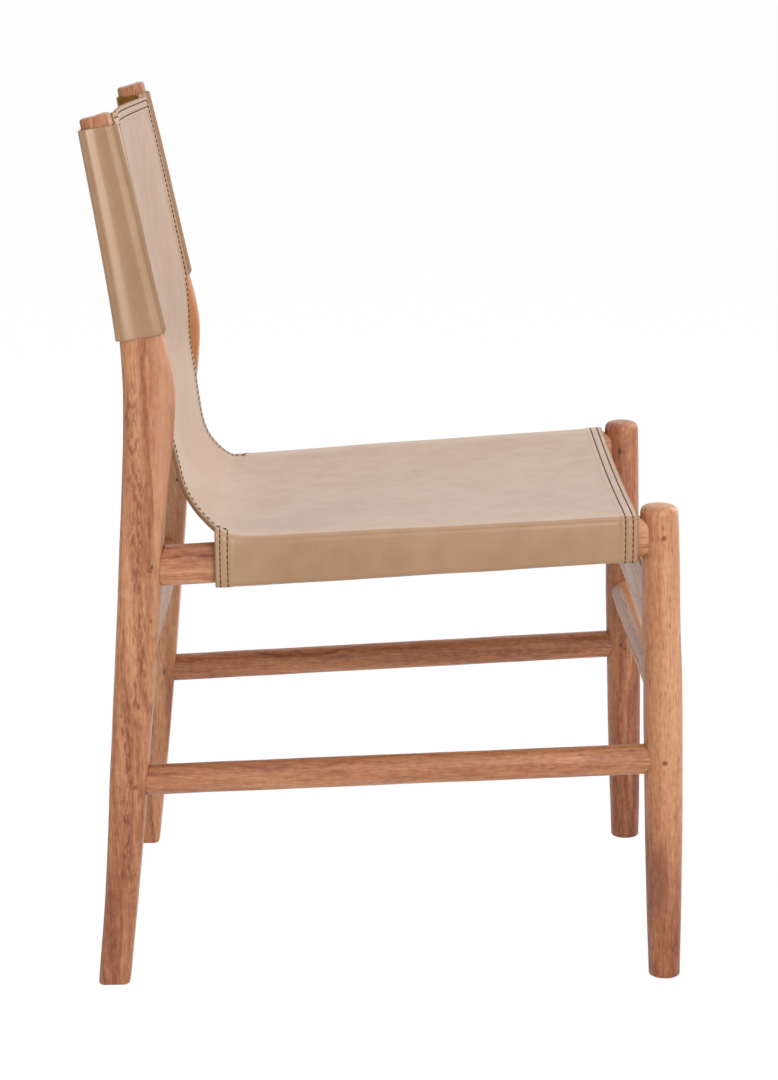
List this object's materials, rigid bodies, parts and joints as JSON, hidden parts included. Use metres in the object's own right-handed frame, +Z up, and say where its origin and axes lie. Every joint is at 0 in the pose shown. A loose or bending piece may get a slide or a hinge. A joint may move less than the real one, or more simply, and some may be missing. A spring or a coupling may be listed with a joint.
{
  "type": "dining chair",
  "caption": "Low-backed teak chair with turned front legs, shaped rear posts and one hide of saddle leather hung between them as back and seat.",
  "frame": {"origin": "on the floor, under the middle of the bounding box", "axes": "+Z up, the chair faces -Y, +X towards the sitter's left"},
  "size_m": [0.4746, 0.5592, 0.8285],
  "materials": {
    "teak": "oiled, satin",
    "teak_peg": "dark end grain",
    "tan_hide": "smooth vegetable-tanned, satin",
    "tack_metal": "aged"
  },
  "bodies": {
    "root": {"rear_post_left": "teak", "rear_post_right": "teak", "front_leg_left": "teak", "front_leg_right": "teak", "seat_rail_left": "teak", "seat_rail_right": "teak", "side_stretcher_left": "teak", "side_stretcher_right": "teak", "front_stretcher": "teak", "front_apron": "teak", "rear_apron": "teak", "peg_seat_rail_rear_left": "teak_peg", "peg_seat_rail_rear_right": "teak_peg", "peg_seat_rail_front_left": "teak_peg", "peg_seat_rail_front_right": "teak_peg", "peg_side_stretcher_rear_left": "teak_peg", "peg_side_stretcher_rear_right": "teak_peg", "peg_side_stretcher_front_left": "teak_peg", "peg_side_stretcher_front_right": "teak_peg", "leather_sling": "tan_hide", "tack_left_1": "tack_metal", "tack_left_2": "tack_metal", "tack_left_3": "tack_metal", "tack_left_4": "tack_metal", "tack_left_5": "tack_metal", "tack_left_6": "tack_metal", "tack_right_1": "tack_metal", "tack_right_2": "tack_metal", "tack_right_3": "tack_metal", "tack_right_4": "tack_metal", "tack_right_5": "tack_metal", "tack_right_6": "tack_metal"}
  },
  "joints": []
}
